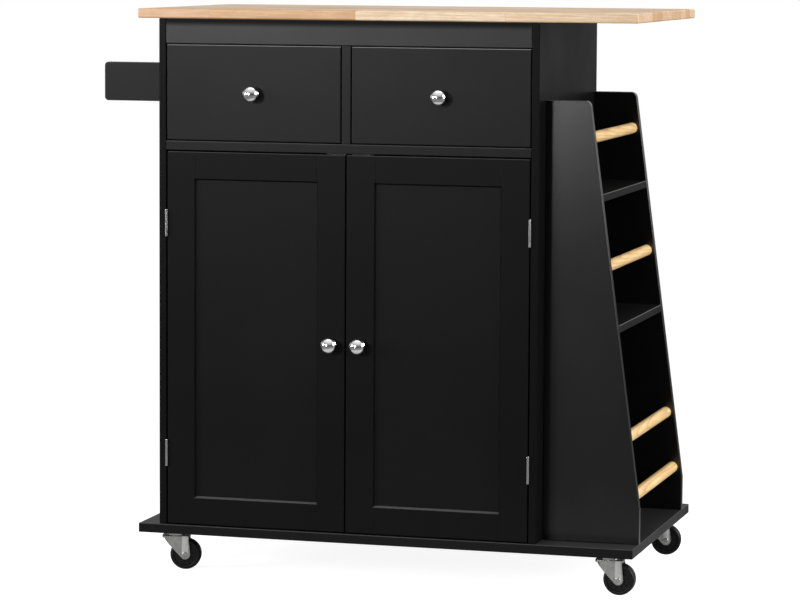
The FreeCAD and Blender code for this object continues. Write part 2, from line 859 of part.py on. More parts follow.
def caster_plate():
    half = caster_plate_side / 2
    plate = block((-half, half), (-half, half), (plate_bottom, base_bottom))
    upright = [edge for edge in plate.Edges if edge.BoundBox.ZLength > flatness]
    plate = plate.makeFillet(caster_plate_corner, upright)
    hole = Part.makeCylinder(wood_screw_diameter / 2 + screw_play, caster_plate_thickness + 2 * overrun)
    offset = caster_hole_spacing / 2
    for x in (-offset, offset):
        for y in (-offset, offset):
            plate = plate.cut(placed(hole, point(x, y, plate_bottom - overrun), upward))
    race_bottom = crown_top + caster_race_play
    head_top = crown_underside - caster_race_play
    race = Part.makeCylinder(caster_race_diameter / 2, plate_bottom - race_bottom, point(0, 0, race_bottom))
    pin = Part.makeCylinder(kingpin_diameter / 2, race_bottom - head_top, point(0, 0, head_top))
    head_bottom = head_top - kingpin_head_height
    head = Part.makeCylinder(kingpin_head_diameter / 2, kingpin_head_height, point(0, 0, head_bottom))
    return plate.fuse([race, pin, head]).removeSplitter()


def tangent_point(start, centre, radius, side):
    # Where a line from a point touches a circle, both as (x, z).
    dx = centre[0] - start[0]
    dz = centre[1] - start[1]
    distance = math.hypot(dx, dz)
    spread = math.asin(radius / distance)
    heading = math.atan2(dz, dx) + side * spread
    run = math.sqrt(distance ** 2 - radius ** 2)
    return start[0] + run * math.cos(heading), start[1] + run * math.sin(heading)


def fork_outline():
    # The fork from the side: a slanted front, a steep back and a round tip about the axle.
    nose = (-fork_nose_reach, crown_underside - fork_nose_drop)
    rear = (fork_rear_reach, crown_underside)
    centre = (wheel_trail, axle_z)
    nose_touch = tangent_point(nose, centre, fork_tip_radius, -1)
    rear_touch = tangent_point(rear, centre, fork_tip_radius, 1)
    lowest = (centre[0], centre[1] - fork_tip_radius)

    def at(spot):
        return point(spot[0], 0, spot[1])

    edges = [
        Part.LineSegment(at((nose[0], crown_underside)), at(nose)).toShape(),
        Part.LineSegment(at(nose), at(nose_touch)).toShape(),
        Part.Arc(at(nose_touch), at(lowest), at(rear_touch)).toShape(),
        Part.LineSegment(at(rear_touch), at(rear)).toShape(),
        Part.LineSegment(at(rear), at((nose[0], crown_underside))).toShape(),
    ]
    profile = Part.Face(Part.Wire(edges)).extrude(inward * fork_width)
    profile.translate(point(0, -fork_width / 2, 0))
    return profile


def fork_wall(inset):
    # The fork seen from above, filled: straight sides that close in a round nose.
    half = fork_width / 2 - inset
    nose_centre = fork_width / 2 - fork_nose_reach
    bottom = axle_z - fork_tip_radius - overrun
    height = crown_underside - bottom
    rear = wheel_trail + fork_tip_radius + overrun
    sides = block((nose_centre, rear), (-half, half), (bottom, crown_underside))
    return sides.fuse(Part.makeCylinder(half, height, point(nose_centre, 0, bottom)))


def crown_disc(inset, height):
    # A round dish with its sides cut flat, as wide as the fork.
    radius = crown_diameter / 2 - inset
    half = fork_width / 2 - inset
    bottom = crown_top - crown_depth
    disc = Part.makeCylinder(radius, height, point(0, 0, bottom))
    return disc.common(block((-radius, radius), (-half, half), (bottom, bottom + height)))


def caster_fork():
    wall = fork_wall(0).cut(fork_wall(fork_sheet)).common(fork_outline())
    crown = crown_disc(0, crown_depth)
    top_rim = [edge for edge in crown.Edges if edge.BoundBox.ZMin > crown_top - flatness]
    crown = crown.makeFillet(crown_rounding, top_rim)
    fork = crown.cut(crown_disc(fork_sheet, crown_depth - fork_sheet)).fuse(wall).removeSplitter()
    bore_radius = kingpin_diameter / 2 + kingpin_play
    bore = Part.makeCylinder(bore_radius, crown_depth, point(0, 0, crown_top - crown_depth))
    axle_hole = placed(Part.makeCylinder(axle_diameter / 2, fork_width + 2 * overrun),
                       point(wheel_trail, -fork_width / 2 - overrun, axle_z), inward)
    return fork.cut(bore).cut(axle_hole)


def caster_axle():
    near = point(wheel_trail, -fork_width / 2, axle_z)
    far = point(wheel_trail, fork_width / 2, axle_z)
    shank = placed(Part.makeCylinder(axle_diameter / 2, fork_width), near, inward)
    head = button(axle_head_diameter, axle_head_height, axle_head_rounding)
    return shank.fuse([placed(head, near, -inward), placed(head, far, inward)]).removeSplitter()


def caster_wheel():
    radius = wheel_diameter / 2
    half = wheel_width / 2
    tyre = Part.makeCylinder(radius, wheel_width, point(0, 0, -half))
    tyre = tyre.makeFillet(wheel_rounding, [edge for edge in tyre.Edges if edge.Closed])
    hub_half = fork_width / 2 - fork_sheet - wheel_hub_play
    hub = Part.makeCylinder(wheel_hub_diameter / 2, 2 * hub_half, point(0, 0, -hub_half))
    for level in (-half, half - wheel_web_depth):
        ring = Part.makeCylinder(wheel_web_diameter / 2, wheel_web_depth, point(0, 0, level))
        tyre = tyre.cut(ring.cut(Part.makeCylinder(wheel_hub_diameter / 2, wheel_width, point(0, 0, -half))))
    wheel = tyre.fuse(hub).removeSplitter()
    bore_radius = axle_diameter / 2 + axle_play
    wheel = wheel.cut(Part.makeCylinder(bore_radius, fork_width, point(0, 0, -fork_width / 2)))
    return placed(wheel, point(wheel_trail, 0, axle_z), inward)


def plate_screw():
    head = placed(button(plate_screw_head_diameter, plate_screw_head_height, plate_screw_head_rounding),
                  point(0, 0, 0), -upward)
    return head.fuse(Part.makeCylinder(wood_screw_diameter / 2, plate_screw_length)).removeSplitter()


def caster_plates():
    return moved_copies(caster_plate(), caster_places().values())


def caster_screws():
    return moved_copies(plate_screw(), plate_screw_places())


# Every node and the separate solids in it
left_side, right_side = side_panels()
front_rail_ys, rear_rail_ys = rail_depths()
rear_bracket_y = rack_rear - towel_bracket_thickness
nodes = {
    "worktop": worktop(),
    "base_board": base(),
    "left_side_panel": [left_side],
    "right_side_panel": [right_side],
    "back_panel": back_panel(),
    "top_rail": [rail(front_rail_ys)],
    "rear_rail": [rail(rear_rail_ys)],
    "drawer_divider": divider(),
    "drawer_deck": deck(),
    "cupboard_shelf": cupboard_shelf(),
    "shelf_pins": shelf_pins(),
    "rack_front_panel": [rack_panel(rack_front, rack_inside_ys[0] - rod_socket_depth)],
    "rack_rear_panel": [rack_panel(rack_inside_ys[1], rack_inside_ys[1])],
    "rack_lower_shelf": rack_shelf(rack_shelf_height_shares[0]),
    "rack_upper_shelf": rack_shelf(rack_shelf_height_shares[1]),
    "rack_rods": rack_rods(),
    "towel_bracket_front": towel_bracket(rack_front, towel_inside_ys[0] - rod_socket_depth),
    "towel_bracket_rear": towel_bracket(rear_bracket_y, rear_bracket_y),
    "towel_rod": [rod(towel_rod_x, towel_rod_z, towel_inside_ys)],
    "hinge_frame_leaves": hinge_frame_leaves(),
    "hinge_pins": hinge_pins(),
    "door_catches": door_catches(),
    "runner_tracks": runner_tracks(),
    "caster_plates": caster_plates(),
    "caster_screws": caster_screws(),
    "carcass_screws": carcass_screws(),
}
for side in ("left", "right"):
    nodes[side + "_drawer_front"] = drawer_front(side)
    nodes[side + "_drawer_sides"] = drawer_sides(side)
    nodes[side + "_drawer_back"] = drawer_back(side)
    nodes[side + "_drawer_bottom"] = drawer_bottom(side)
    nodes[side + "_drawer_knob"] = drawer_knob(side)
    nodes[side + "_drawer_slides"] = drawer_slides(side)
    nodes[side + "_door_frame"] = door_frame(side)
    nodes[side + "_door_panel"] = door_panel(side)
    nodes[side + "_door_knob"] = door_knob(side)
    nodes[side + "_door_hinge_leaves"] = door_hinge_leaves(side)
    nodes[side + "_door_strike"] = door_strike(side)
caster_turns = {
    "front_left": front_left_turn,
    "front_right": front_right_turn,
    "rear_left": rear_left_turn,
    "rear_right": rear_right_turn,
}
caster_pieces = {"fork": caster_fork(), "axle": caster_axle(), "wheel": caster_wheel()}
for corner, place in caster_places().items():
    for piece, shape in caster_pieces.items():
        turned_piece = shape.copy()
        turned_piece.rotate(point(0, 0, 0), upward, caster_turns[corner])
        nodes[corner + "_" + piece] = moved_copies(turned_piece, [place])

os.makedirs("parts", exist_ok=True)
for name, solids in nodes.items():
    shape = solids[0] if len(solids) == 1 else Part.makeCompound(solids)
    shape.exportStep("parts/" + name + ".step")
    state = "valid" if shape.isValid() else "BROKEN"
    print(name, len(shape.Solids), "solids", round(shape.Volume), "mm3", state)
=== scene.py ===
import json
import math

import bmesh
import bpy
from mathutils import Matrix, Vector


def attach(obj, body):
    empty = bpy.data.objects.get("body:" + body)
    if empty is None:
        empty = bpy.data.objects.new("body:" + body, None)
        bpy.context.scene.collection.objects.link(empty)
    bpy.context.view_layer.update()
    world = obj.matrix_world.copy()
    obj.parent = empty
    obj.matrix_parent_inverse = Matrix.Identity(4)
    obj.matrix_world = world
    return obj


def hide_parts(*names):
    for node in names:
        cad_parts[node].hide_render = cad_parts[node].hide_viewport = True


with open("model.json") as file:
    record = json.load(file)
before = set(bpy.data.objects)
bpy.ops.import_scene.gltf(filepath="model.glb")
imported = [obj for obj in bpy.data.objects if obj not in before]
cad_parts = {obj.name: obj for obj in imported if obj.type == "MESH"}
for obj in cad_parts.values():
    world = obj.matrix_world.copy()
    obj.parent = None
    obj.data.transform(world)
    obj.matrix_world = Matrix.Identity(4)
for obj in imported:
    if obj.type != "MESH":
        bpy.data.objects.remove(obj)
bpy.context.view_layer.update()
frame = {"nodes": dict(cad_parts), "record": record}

# A kitchen cart, dressed for pictures: paint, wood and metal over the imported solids, and the small
# fittings that show how it is made. Metres, +X right, +Y back, +Z up.

nodes = frame["nodes"]


# Small helpers for shader trees

def wire(tree, value, socket):
    if isinstance(value, bpy.types.NodeSocket):
        tree.links.new(value, socket)
    else:
        socket.default_value = value


def add(tree, kind, inputs=None, **settings):
    node = tree.nodes.new(kind if kind.startswith("Node") else "ShaderNode" + kind)
    for name, value in settings.items():
        setattr(node, name, value)
    for name, value in (inputs or {}).items():
        wire(tree, value, node.inputs[name])
    return node


def maths(tree, operation, *values):
    return add(tree, "Math", dict(enumerate(values)), operation=operation).outputs[0]


def plus(tree, first, second):
    return maths(tree, "ADD", first, second)


def minus(tree, first, second):
    return maths(tree, "SUBTRACT", first, second)


def times(tree, first, second):
    return maths(tree, "MULTIPLY", first, second)


def over(tree, first, second):
    return maths(tree, "DIVIDE", first, second)


def remap(tree, value, low, high, newLow=0.0, newHigh=1.0):
    inputs = {"Value": value, "From Min": low, "From Max": high, "To Min": newLow, "To Max": newHigh}
    return add(tree, "MapRange", inputs).outputs[0]


def blendColours(tree, factor, first, second, how="MIX"):
    inputs = {0: factor, 6: first, 7: second}
    return add(tree, "Mix", inputs, data_type="RGBA", blend_type=how).outputs[2]


def tinted(tree, colour, mask, share, tint, how="MIX"):
    # Lays a tint over a colour where a mask is, at most by the given share.
    return blendColours(tree, times(tree, mask, share), colour, tint, how)


def noise(tree, vector, scale, detail, roughness=0.5):
    inputs = {"Vector": vector, "Scale": scale, "Detail": detail, "Roughness": roughness}
    return add(tree, "TexNoise", inputs).outputs[0]


def stretched(tree, vector, scale):
    return add(tree, "Mapping", {"Vector": vector, "Scale": scale}).outputs[0]


def layered(tree, vector, layer):
    # Stretched noise, cut to a range that becomes 0 to 1.
    pattern = noise(tree, stretched(tree, vector, layer["stretch"]), 1.0, *layer["detail"])
    return remap(tree, pattern, *layer["range"])


def split(tree, vector):
    return add(tree, "SeparateXYZ", {0: vector}).outputs


def joined(tree, x, y, z):
    return add(tree, "CombineXYZ", {0: x, 1: y, 2: z}).outputs[0]


def newGroup(name, values, outputs):
    # An effect takes the place on the surface as its Vector, then plain numbers.
    tree = bpy.data.node_groups.new(name, "ShaderNodeTree")
    tree.interface.new_socket("Vector", in_out="INPUT", socket_type="NodeSocketVector")
    for title, value in values.items():
        socket = tree.interface.new_socket(title, in_out="INPUT", socket_type="NodeSocketFloat")
        socket.default_value = value
    for title in outputs:
        tree.interface.new_socket(title, in_out="OUTPUT", socket_type="NodeSocketFloat")
    return tree, add(tree, "NodeGroupInput").outputs, add(tree, "NodeGroupOutput").inputs


def place(tree, group, inputs):
    node = add(tree, "Group", node_tree=group)
    for name, value in inputs.items():
        wire(tree, value, node.inputs[name])
    return node.outputs


def newMaterial(name, constants):
    # A Principled material with its constant values set on the shader's own sockets.
    material = bpy.data.materials.new(name)
    material.use_nodes = True
    tree = material.node_tree
    shader = tree.nodes["Principled BSDF"]
    for title, value in constants.items():
        shader.inputs[title].default_value = value
    return material, tree, shader, add(tree, "TexCoord").outputs["Object"]


def dress(tree, shader, colour, roughness, height, bump):
    # Bump is how far the height reaches, in metres, and its strength.
    wire(tree, colour, shader.inputs["Base Color"])
    wire(tree, roughness, shader.inputs["Roughness"])
    node = add(tree, "Bump", {"Height": height, "Distance": bump[0], "Strength": bump[1]})
    wire(tree, node.outputs[0], shader.inputs["Normal"])


# Skin of a sprayed board: fine ripple, wide soft changes of sheen, and a few settled specks
filmShape = {
    "rippleDetail": 1.0,
    "cloud": (4.0, 0.6),                # detail and roughness of the noise
    "cloudRange": (0.35, 0.65),
    "speckShare": (0.93, 0.94),         # only the cells above this hold a speck
    "speckSize": (0.12, 0.05),
}


def paintFilmGroup(shape):
    scales = {"Ripple Scale": 520.0, "Cloud Scale": 5.0, "Speck Scale": 160.0}
    tree, given, result = newGroup("paintFilm", scales, ["Height", "Cloud", "Specks"])
    ripple = noise(tree, given["Vector"], given["Ripple Scale"], shape["rippleDetail"])
    wire(tree, ripple, result["Height"])
    cloud = noise(tree, given["Vector"], given["Cloud Scale"], *shape["cloud"])
    wire(tree, remap(tree, cloud, *shape["cloudRange"]), result["Cloud"])
    cells = add(tree, "TexVoronoi", {"Vector": given["Vector"], "Scale": given["Speck Scale"]})
    rare = remap(tree, split(tree, cells.outputs["Color"])[0], *shape["speckShare"])
    near = remap(tree, cells.outputs["Distance"], *shape["speckSize"])
    wire(tree, times(tree, rare, near), result["Specks"])
    return tree


# Wear in patches along convex edges, found by how thin the solid is just inside the surface
wearShape = {
    "samples": 6,
    "thin": (0.92, 0.55),               # how clear the way inwards is, where wear begins and is full
    "patches": (3.0, 0.65),
    "patchRange": (0.5, 0.68),
}


def edgeWearGroup(shape):
    tree, given, result = newGroup("edgeWear", {"Width": 0.0012, "Patchiness": 60.0}, ["Worn"])
    inside = add(tree, "AmbientOcclusion", {"Distance": given["Width"]}, inside=True, only_local=True,
                 samples=shape["samples"])
    edge = remap(tree, inside.outputs["AO"], *shape["thin"])
    patches = noise(tree, given["Vector"], given["Patchiness"], *shape["patches"])
    wire(tree, times(tree, edge, remap(tree, patches, *shape["patchRange"])), result["Worn"])
    return tree


# Solid wood with the grain along X: growth rings round a far pith, long fibres, short pores, flames
woodShape = {
    "seedShift": (7.3, 1.9),            # how far a seed moves the pattern along X and Y
    "wander": {"stretch": (1.0, 9.0, 9.0), "scale": 2.2, "detail": 2.0, "reach": 0.03},
    "pithTurn": 6.283,                  # how far round a seed from 0 to 1 takes the pith, in radians
    "lateWood": 3.0,                    # how late in its ring the wood darkens
    "ringEnd": (1.0, 0.93),
    "layers": {
        "Fibre": {"stretch": (14.0, 900.0, 900.0), "detail": (3.0, 0.6), "range": (0.3, 0.7)},
        "Pores": {"stretch": (130.0, 2100.0, 2100.0), "detail": (1.0, 0.5), "range": (0.66, 0.74)},
        "Flame": {"stretch": (16.0, 130.0, 130.0), "detail": (3.0, 0.7), "range": (0.38, 0.62)},
    },
}


def woodFigureGroup(shape):
    values = {"Seed": 0.0, "Ring Width": 0.0045, "Pith Distance": 0.06, "Tilt": 0.02}
    tree, given, result = newGroup("woodFigure", values, ["Rings", "Fibre", "Pores", "Flame"])
    seed = given["Seed"]
    alongX, alongY = shape["seedShift"]
    shift = joined(tree, times(tree, seed, alongX), times(tree, seed, alongY), seed)
    moved = add(tree, "VectorMath", {0: given["Vector"], 1: shift}, operation="ADD").outputs[0]
    x, y, z = split(tree, given["Vector"])
    bend = shape["wander"]
    wander = noise(tree, stretched(tree, moved, bend["stretch"]), bend["scale"], bend["detail"])
    wander = times(tree, minus(tree, wander, 0.5), bend["reach"])
    turn = times(tree, seed, shape["pithTurn"])
    pithY = times(tree, maths(tree, "COSINE", turn), given["Pith Distance"])
    pithZ = times(tree, maths(tree, "SINE", turn), given["Pith Distance"])
    offY = plus(tree, minus(tree, y, pithY), wander)
    offZ = plus(tree, minus(tree, z, pithZ), times(tree, x, given["Tilt"]))
    squared = plus(tree, times(tree, offY, offY), times(tree, offZ, offZ))
    phase = maths(tree, "FRACT", over(tree, maths(tree, "SQRT", squared), given["Ring Width"]))
    late = maths(tree, "POWER", phase, shape["lateWood"])
    wire(tree, times(tree, late, remap(tree, phase, *shape["ringEnd"])), result["Rings"])
    for title, layer in shape["layers"].items():
        wire(tree, layered(tree, moved, layer), result[title])
    return tree


# A board glued up from staves, each of shorter blocks with finger joints between them
staveShape = {
    "stagger": 0.381966,                # shift from row to row, as a share of a block
    "rowWeight": 12.9898,               # these four deal out tones and seeds among the blocks
    "blockWeight": 4.1414,
    "toneSpread": 43.7585,
    "seedSpread": 17.317,
    "glueWidth": (0.00045, 0.0001),     # metres from a joint, where its line begins and is full
}


def staveLayoutGroup(shape):
    values = {"Front": -0.2175, "Stave Width": 0.0375, "Block Length": 0.24, "Joint Start": 0.0,
              "Finger Depth": 0.009, "Finger Pitch": 0.0042, "Seed": 0.0}
    tree, given, result = newGroup("staveLayout", values, ["Tone", "Seed", "Glue"])
    x, y = split(tree, given["Vector"])[:2]
    across = over(tree, minus(tree, y, given["Front"]), given["Stave Width"])
    row = maths(tree, "FLOOR", across)
    stagger = maths(tree, "FRACT", times(tree, row, shape["stagger"]))
    fingers = maths(tree, "PINGPONG", over(tree, y, given["Finger Pitch"]), 1.0)
    zigzag = times(tree, minus(tree, fingers, 0.5), given["Finger Depth"])
    along = plus(tree, minus(tree, x, given["Joint Start"]), zigzag)
    along = plus(tree, over(tree, along, given["Block Length"]), stagger)
    block = maths(tree, "FLOOR", along)
    mixed = plus(tree, times(tree, row, shape["rowWeight"]), times(tree, block, shape["blockWeight"]))
    mixed = maths(tree, "SINE", plus(tree, mixed, given["Seed"]))
    wire(tree, maths(tree, "FRACT", times(tree, mixed, shape["toneSpread"])), result["Tone"])
    wire(tree, maths(tree, "FRACT", times(tree, mixed, shape["seedSpread"])), result["Seed"])
    sideGap = times(tree, maths(tree, "PINGPONG", across, 0.5), given["Stave Width"])
    endGap = times(tree, maths(tree, "PINGPONG", along, 0.5), given["Block Length"])
    nearest = maths(tree, "MINIMUM", sideGap, endGap)
    wire(tree, remap(tree, nearest, *shape["glueWidth"]), result["Glue"])
    return tree


# Plated metal: hairline scratches and the faint patches of the plating
marksShape = {
    "turn": (0.5, 0.3, 0.9),
    "stretch": (0.05, 1.0, 1.0),
    "detail": 2.0,
    "scratchRange": (0.6, 0.72),
}


def metalMarksGroup(shape):
    scales = {"Patch Scale": 260.0, "Scratch Scale": 900.0}
    tree, given, result = newGroup("metalMarks", scales, ["Patches", "Scratches", "Height"])
    cells = add(tree, "TexVoronoi", {"Vector": given["Vector"], "Scale": given["Patch Scale"]})
    wire(tree, split(tree, cells.outputs["Color"])[1], result["Patches"])
    turned = add(tree, "Mapping", {"Vector": given["Vector"], "Rotation": shape["turn"],
                                   "Scale": shape["stretch"]}).outputs[0]
    scratches = noise(tree, turned, given["Scratch Scale"], shape["detail"])
    wire(tree, remap(tree, scratches, *shape["scratchRange"]), result["Scratches"])
    wire(tree, noise(tree, given["Vector"], given["Scratch Scale"], shape["detail"]), result["Height"])
    return tree


paintFilm = paintFilmGroup(filmShape)
edgeWear = edgeWearGroup(wearShape)
woodFigure = woodFigureGroup(woodShape)
staveLayout = staveLayoutGroup(staveShape)
metalMarks = metalMarksGroup(marksShape)
print("effects made")


# Black paint of the boards
blackPaint = {
    "colour": (0.0042, 0.0042, 0.0045, 1.0),
    "dustAndSheenColour": (0.045, 0.045, 0.046, 1.0),
    "edge": (0.024, 0.024, 0.025, 1.0),
    "edgeWidth": 0.0012,
    "specks": 0.5,                      # share of the edge colour on specks and on worn edges
    "worn": 0.6,
    "levelFaces": (0.6, 1.0),           # how far up a face looks where it is lightened: settled dust, and on the base board a painted sheen
    "dustPatches": (0.6, 1.0),
    "edgeStart": (0.2, 0.45),           # how far up a rounded upper edge looks where a painted highlight lightens it
    "edgeEnd": (0.99, 0.93),
    "bump": (0.00002, 0.5),
    "mattRoughness": 0.95,              # where the spray gun reached badly, close under the worktop
    "mattFade": 1.6,
}

# The sheen that each piece shows, where it differs from the plain one
# edgeHighlight is the colour painted along rounded upper edges as a highlight
plainSheen = {"roughness": (0.33, 0.39), "edgeHighlight": (0.10, 0.10, 0.102, 1.0), "dustAndSheen": 0.05}
paintSheens = {
    "railPaint": {"specular": 0.31, "mattStrip": (0.8765, 0.8850), "on": ("top_rail", "rear_rail")},
    "drawerPaint": {"specular": 0.16, "edgeHighlight": (0.32, 0.32, 0.322, 1.0),
                    "on": ("left_drawer_front", "right_drawer_front")},
    "deckPaint": {"specular": 0.16, "edgeHighlight": (0.08, 0.08, 0.082, 1.0),
                  "on": ("drawer_deck", "drawer_divider")},
    "doorFramePaint": {"specular": 0.08, "roughness": (0.34, 0.40), "edgeHighlight": (0.07, 0.07, 0.071, 1.0),
                       "on": ("left_door_frame", "right_door_frame")},
    "doorPanelPaint": {"specular": 0.11, "roughness": (0.34, 0.40),
                       "on": ("left_door_panel", "right_door_panel")},
    "cabinetPaint": {"specular": 0.06, "roughness": (0.34, 0.42),
                     "on": ("left_side_panel", "right_side_panel", "cupboard_shelf")},
    "rackPaint": {"specular": 0.5, "roughness": (0.21, 0.25),
                  "on": ("rack_front_panel", "rack_rear_panel")},
    "shelfPaint": {"specular": 0.15, "roughness": (0.33, 0.40),
                   "on": ("rack_lower_shelf", "rack_upper_shelf")},
    "towelPaint": {"specular": 0.17, "roughness": (0.33, 0.40),
                   "on": ("towel_bracket_front", "towel_bracket_rear")},
    # The base board's upward faces are much lighter: partly dust, partly a painted sheen on its top
    "basePaint": {"specular": 0.14, "roughness": (0.34, 0.42), "edgeHighlight": (0.05, 0.05, 0.051, 1.0),
                  "dustAndSheen": 0.6, "on": ("base_board",)},
}


def makeBlackPaint(name, look, sheen):
    material, tree, shader, coordinates = newMaterial(name, {"Specular IOR Level": sheen["specular"]})
    film = place(tree, paintFilm, {"Vector": coordinates})
    wear = place(tree, edgeWear, {"Vector": coordinates, "Width": look["edgeWidth"]})
    upward = split(tree, add(tree, "NewGeometry").outputs["Normal"])[2]
    # Upward faces lighter: settled dust, and on the base board a painted sheen as well
    level = times(tree, remap(tree, upward, *look["levelFaces"]), sheen["dustAndSheen"])
    dustAndSheenMask = times(tree, remap(tree, film["Cloud"], 0.0, 1.0, *look["dustPatches"]), level)
    colour = blendColours(tree, dustAndSheenMask, look["colour"], look["dustAndSheenColour"])
    # Rounded upper edges painted lighter: a painted highlight along the top edges
    paintedEdgeHighlight = times(tree, remap(tree, upward, *look["edgeStart"]), remap(tree, upward, *look["edgeEnd"]))
    colour = blendColours(tree, paintedEdgeHighlight, colour, sheen["edgeHighlight"])
    colour = tinted(tree, colour, film["Specks"], look["specks"], look["edge"])
    colour = tinted(tree, colour, wear["Worn"], look["worn"], look["edge"])
    roughness = remap(tree, film["Cloud"], 0.0, 1.0, *sheen["roughness"])
    if "mattStrip" in sheen:
        strip = remap(tree, split(tree, coordinates)[2], *sheen["mattStrip"])
        strip = maths(tree, "POWER", strip, look["mattFade"])
        roughness = remap(tree, strip, 0.0, 1.0, roughness, look["mattRoughness"])
    dress(tree, shader, colour, roughness, film["Height"], look["bump"])
    return material


# Thin board of the cabinet's back: the same black, rolled on and flatter
backBoard = {
    "colour": (0.0075, 0.0075, 0.0078, 1.0),
    "fibres": (0.019, 0.018, 0.017, 1.0),
    "specular": 0.3,
    "roughness": (0.55, 0.68),
    "cloudScale": 9.0,
    "strands": {"stretch": (420.0, 420.0, 90.0), "detail": (3.0, 0.7), "range": (0.52, 0.7)},
    "bump": (0.0001, 0.4),
}


def makeBackBoard(look):
    material, tree, shader, coordinates = newMaterial("backBoard", {"Specular IOR Level": look["specular"]})
    film = place(tree, paintFilm, {"Vector": coordinates, "Cloud Scale": look["cloudScale"]})
    strands = layered(tree, coordinates, look["strands"])
    colour = blendColours(tree, strands, look["colour"], look["fibres"])
    roughness = remap(tree, film["Cloud"], 0.0, 1.0, *look["roughness"])
    dress(tree, shader, colour, roughness, strands, look["bump"])
    return material


# Worktop: clear lacquer over glued staves
worktopWood = {
    "light": (0.98, 0.80, 0.56, 1.0),
    "warm": (0.71, 0.42, 0.17, 1.0),
    "rosy": (0.73, 0.42, 0.225, 1.0),
    "flame": (0.74, 0.58, 0.42, 1.0),
    "rings": (0.46, 0.22, 0.085, 1.0),
    "pores": (0.36, 0.18, 0.08, 1.0),
    "glue": (0.40, 0.21, 0.09, 1.0),
    "shares": {"Flame": 0.65, "Rings": 0.38, "Fibre": 0.22, "Pores": 0.45, "Glue": 0.5},
    "rosySeeds": (0.3, 0.7),            # block seeds between which warm turns to rosy
    "endFaces": (0.6, 0.9),             # how far sideways a face looks where it shows end grain
    "endShare": 0.2,
    "roughness": (0.34, 0.46),
    "lacquer": {"Coat Weight": 0.5, "Coat Roughness": 0.22},
    "bump": (0.00006, 0.35),
    "pithDistance": 0.05,
    "jointStart": -0.0048,
    "blockLength": 0.2408,
    "seed": 3.8635,
}


def grained(tree, colour, figure, look):
    # Darkens a wood colour along its rings, fibres and pores.
    for mark, tint in (("Rings", "rings"), ("Fibre", "rings"), ("Pores", "pores")):
        colour = tinted(tree, colour, figure[mark], look["shares"][mark], look[tint])
    return colour


def makeWorktopWood(look):
    material, tree, shader, coordinates = newMaterial("worktopWood", look["lacquer"])
    layout = place(tree, staveLayout, {"Vector": coordinates, "Joint Start": look["jointStart"],
                                       "Block Length": look["blockLength"], "Seed": look["seed"]})
    figure = place(tree, woodFigure, {"Vector": coordinates, "Seed": layout["Seed"],
                                      "Pith Distance": look["pithDistance"]})
    shares = look["shares"]
    darker = blendColours(tree, remap(tree, layout["Seed"], *look["rosySeeds"]), look["warm"], look["rosy"])
    colour = blendColours(tree, layout["Tone"], look["light"], darker)
    colour = tinted(tree, colour, figure["Flame"], shares["Flame"], look["flame"], "MULTIPLY")
    colour = grained(tree, colour, figure, look)
    colour = tinted(tree, colour, layout["Glue"], shares["Glue"], look["glue"])
    sideways = maths(tree, "ABSOLUTE", split(tree, add(tree, "NewGeometry").outputs["Normal"])[0])
    endGrain = remap(tree, sideways, *look["endFaces"], 0.0, look["endShare"])
    colour = blendColours(tree, endGrain, colour, look["warm"], "MULTIPLY")
    roughness = remap(tree, figure["Fibre"], 0.0, 1.0, *look["roughness"])
    height = minus(tree, figure["Fibre"], figure["Pores"])
    dress(tree, shader, colour, roughness, height, look["bump"])
    return material


def dressPlainWood(tree, shader, look, vector, seed):
    # One piece of wood with the grain along the vector's X.
    figure = place(tree, woodFigure, {"Vector": vector, "Seed": seed, "Ring Width": look["ringWidth"],
                                      "Pith Distance": look["pithDistance"], "Tilt": look["tilt"]})
    colour = tinted(tree, look["light"], figure["Flame"], look["shares"]["Flame"], look["warm"])
    colour = grained(tree, colour, figure, look)
    roughness = remap(tree, figure["Fibre"], 0.0, 1.0, *look["roughness"])
    dress(tree, shader, colour, roughness, figure["Fibre"], look["bump"])


# Round rods of the rack and the towel rail
rodWood = {
    "light": (0.97, 0.71, 0.345, 1.0),
    "warm": (0.74, 0.42, 0.135, 1.0),
    "rings": (0.50, 0.25, 0.07, 1.0),
    "pores": (0.50, 0.25, 0.07, 1.0),
    "shares": {"Flame": 0.55, "Rings": 0.75, "Fibre": 0.15, "Pores": 0.3},
    "roughness": (0.36, 0.5),
    "lacquer": {"Coat Weight": 0.2, "Coat Roughness": 0.3},
    "bump": (0.00005, 0.3),
    "ringWidth": 0.0048,
    "pithDistance": 0.024,
    "tilt": 0.055,
    "bands": 11.0,                      # bands of height in a metre, each with its own seed
    "seedStep": 0.377,
}


def makeRodWood(look):
    # The grain runs along Y, and each rod takes its own figure from its height.
    material, tree, shader, coordinates = newMaterial("rodWood", look["lacquer"])
    x, y, z = split(tree, coordinates)
    band = maths(tree, "FLOOR", times(tree, z, look["bands"]))
    seed = maths(tree, "FRACT", times(tree, band, look["seedStep"]))
    dressPlainWood(tree, shader, look, joined(tree, y, x, z), seed)
    return material


# Bare light board of the drawer boxes
drawerWood = {
    "light": (0.62, 0.47, 0.30, 1.0),
    "warm": (0.50, 0.34, 0.19, 1.0),
    "rings": (0.40, 0.25, 0.13, 1.0),
    "pores": (0.40, 0.25, 0.13, 1.0),
    "shares": {"Flame": 0.6, "Rings": 0.45, "Fibre": 0.25, "Pores": 0.4},
    "specular": 0.35,
    "roughness": (0.55, 0.68),
    "bump": (0.00012, 0.4),
    "ringWidth": 0.006,
    "pithDistance": 0.35,
    "tilt": 0.03,
    "seed": 0.37,
}


def makeDrawerWood(look):
    # The grain runs along Y.
    material, tree, shader, coordinates = newMaterial("drawerWood", {"Specular IOR Level": look["specular"]})
    x, y, z = split(tree, coordinates)
    dressPlainWood(tree, shader, look, joined(tree, y, z, x), look["seed"])
    return material


